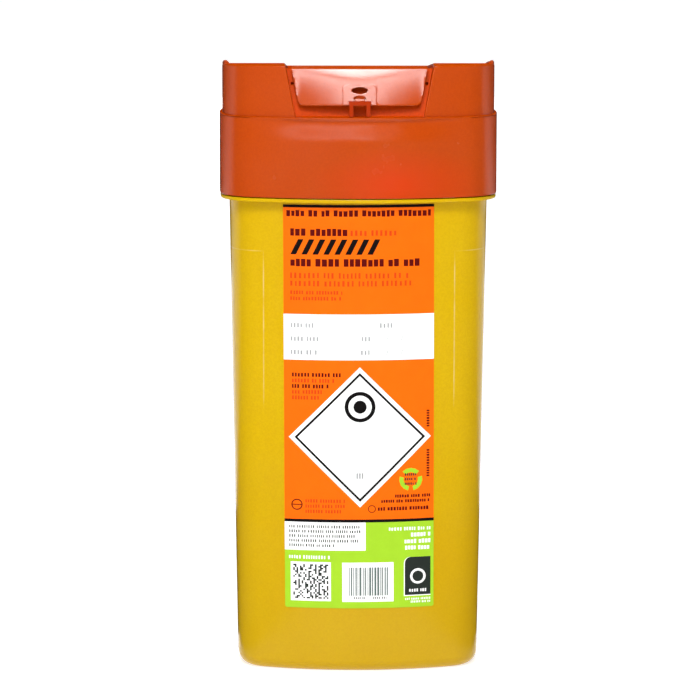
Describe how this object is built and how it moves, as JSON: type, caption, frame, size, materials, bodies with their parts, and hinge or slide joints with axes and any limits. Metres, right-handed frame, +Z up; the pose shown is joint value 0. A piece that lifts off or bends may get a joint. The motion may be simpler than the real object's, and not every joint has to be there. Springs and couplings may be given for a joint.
{
  "type": "biohazard waste bin",
  "caption": "Small clinical sharps bin: tapered tub, clip-on lid with a waste aperture, and a hinged door held by a two-position catch.",
  "frame": {"origin": "on the surface the bin stands on, under the middle of its plan outline", "axes": "+Z up, +X to the right when facing the label, -Y towards the viewer who faces the label"},
  "size_m": [0.0886, 0.062, 0.1949],
  "materials": {
    "yellow_tub": "semi-gloss moulded polypropylene",
    "orange_lid": "semi-gloss moulded polypropylene",
    "orange_door": "glossier moulded polypropylene",
    "printed_label": "printed self-adhesive film"
  },
  "bodies": {
    "bin": {"container": "yellow_tub", "lid": "orange_lid", "front_label": "printed_label"},
    "door": {"door": "orange_door"},
    "catch": {"door_catch": "orange_lid"}
  },
  "joints": [
    {"name": "door_hinge", "type": "hinge", "parent": "bin", "child": "door", "pos_m": [0, 0.02, 0.18865], "axis": [-1, 0, 0], "range_deg": [-2.9, 105]},
    {"name": "catch_flex", "type": "hinge", "parent": "bin", "child": "catch", "pos_m": [0, -0.02975, 0.1783], "axis": [1, 0, 0], "range_deg": [0, 10], "stiffness_Nm_per_rad": 0.005}
  ]
}
